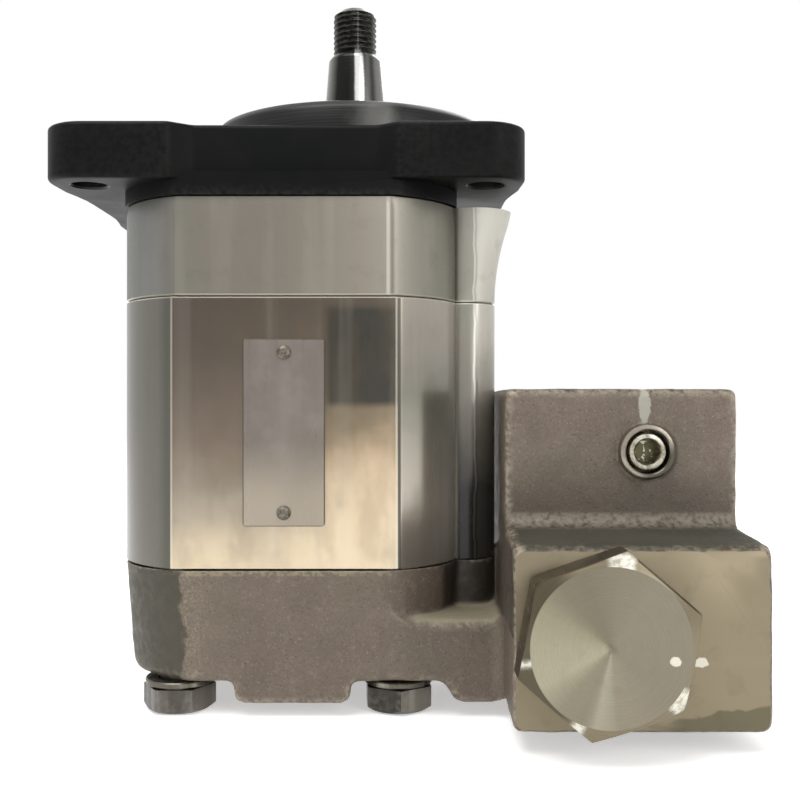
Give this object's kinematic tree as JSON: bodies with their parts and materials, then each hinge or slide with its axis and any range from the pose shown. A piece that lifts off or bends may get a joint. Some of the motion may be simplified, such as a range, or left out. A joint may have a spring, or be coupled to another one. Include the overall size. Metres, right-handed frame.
{
  "type": "gear pump with priority valve block",
  "caption": "External gear pump with a black mounting flange, tapered keyed shaft and an iron rear cover cast with a side valve block.",
  "frame": {"origin": "middle of the pump's footprint, level with the undersides of the four through-bolt heads", "axes": "+Z along the drive shaft towards its threaded end, +X towards the valve block, -Y towards the name plate and the valve plug"},
  "size_m": [0.171, 0.1266, 0.1895],
  "materials": {
    "black_paint": "satin black paint",
    "cast_aluminium": "machined aluminium, satin",
    "bright_aluminium": "bright machined aluminium",
    "cast_iron": "bare iron casting with machined faces",
    "dark_steel": "dark hardened steel",
    "zinc_steel": "zinc-plated steel",
    "ground_steel": "ground steel",
    "bright_steel": "turned bright steel",
    "spring_steel": "dark spring steel",
    "bronze": "bearing bronze",
    "plate_metal": "satin aluminium, bare",
    "black_rubber": "matt black rubber"
  },
  "bodies": {
    "pump": {"front_flange": "black_paint", "front_housing": "cast_aluminium", "bearing_block_rear": "cast_aluminium", "bearing_block_front": "cast_aluminium", "gear_body": "bright_aluminium", "rear_cover": "cast_iron", "through_bolt_1": "dark_steel", "through_bolt_2": "dark_steel", "through_bolt_3": "dark_steel", "through_bolt_4": "dark_steel", "bolt_washer_1": "zinc_steel", "bolt_washer_2": "zinc_steel", "bolt_washer_3": "zinc_steel", "bolt_washer_4": "zinc_steel", "bearing_outer_ring": "ground_steel", "dowel_pin_1": "ground_steel", "dowel_pin_2": "ground_steel", "dowel_pin_3": "ground_steel", "dowel_pin_4": "ground_steel", "valve_plug": "bright_steel", "relief_collar": "bright_steel", "relief_seat": "bright_steel", "seal_circlip": "spring_steel", "spool_spring": "spring_steel", "relief_spring": "spring_steel", "journal_bush_1": "bronze", "journal_bush_2": "bronze", "journal_bush_3": "bronze", "journal_bush_4": "bronze", "name_plate": "plate_metal", "plate_rivet_1": "plate_metal", "plate_rivet_2": "plate_metal", "shaft_seal": "black_rubber", "flange_seal": "black_rubber", "body_seal_rear": "black_rubber", "body_seal_front": "black_rubber", "block_seal_rear": "black_rubber", "block_seal_front": "black_rubber", "plug_seal": "black_rubber"},
    "drive_shaft": {"drive_gear_shaft": "ground_steel", "woodruff_key": "zinc_steel", "bearing_inner_ring": "ground_steel", "shaft_circlip": "spring_steel"},
    "driven_gear": {"driven_gear": "ground_steel"},
    "ball_cage": {"bearing_ball_cage": "bronze"},
    "spool": {"priority_spool": "ground_steel"},
    "relief_poppet": {"relief_poppet": "ground_steel"},
    "relief_spring_seat": {"relief_spring_seat": "dark_steel"},
    "relief_screw": {"relief_screw": "dark_steel"}
  },
  "joints": [
    {"name": "shaft_spin", "type": "hinge", "parent": "pump", "child": "drive_shaft", "pos_m": [-0.01022, 0.01685, 0.0703], "axis": [0, 0, 1], "continuous": true},
    {"name": "driven_spin", "type": "hinge", "parent": "pump", "child": "driven_gear", "pos_m": [-0.04122, 0.01685, 0.0703], "axis": [0, 0, 1], "continuous": true},
    {"name": "cage_spin", "type": "hinge", "parent": "pump", "child": "ball_cage", "pos_m": [-0.01022, 0.01685, 0.1223], "axis": [0, 0, 1], "continuous": true},
    {"name": "spool_slide", "type": "slide", "parent": "pump", "child": "spool", "axis": [0, 1, 0], "range_m": [0, 0.008], "stiffness_N_per_m": 6000, "deforming": ["spool_spring"]},
    {"name": "poppet_slide", "type": "slide", "parent": "pump", "child": "relief_poppet", "axis": [0, -1, 0], "range_m": [0, 0.0015], "stiffness_N_per_m": 30000, "deforming": ["relief_spring"]},
    {"name": "spring_seat_slide", "type": "slide", "parent": "pump", "child": "relief_spring_seat", "axis": [0, 1, 0], "range_m": [-0.001, 0.001], "deforming": ["relief_spring"]},
    {"name": "relief_screw_turn", "type": "hinge", "parent": "relief_spring_seat", "child": "relief_screw", "pos_m": [0.06277, -0.03315, 0.0658], "axis": [0, 1, 0], "range_deg": [-360, 360]}
  ],
  "couplings": [
    {"joint": "driven_spin", "follows": "shaft_spin", "ratio": -1},
    {"joint": "cage_spin", "follows": "shaft_spin", "ratio": 0.382},
    {"joint": "relief_screw_turn", "follows": "spring_seat_slide", "rad_per_m": 6283}
  ]
}
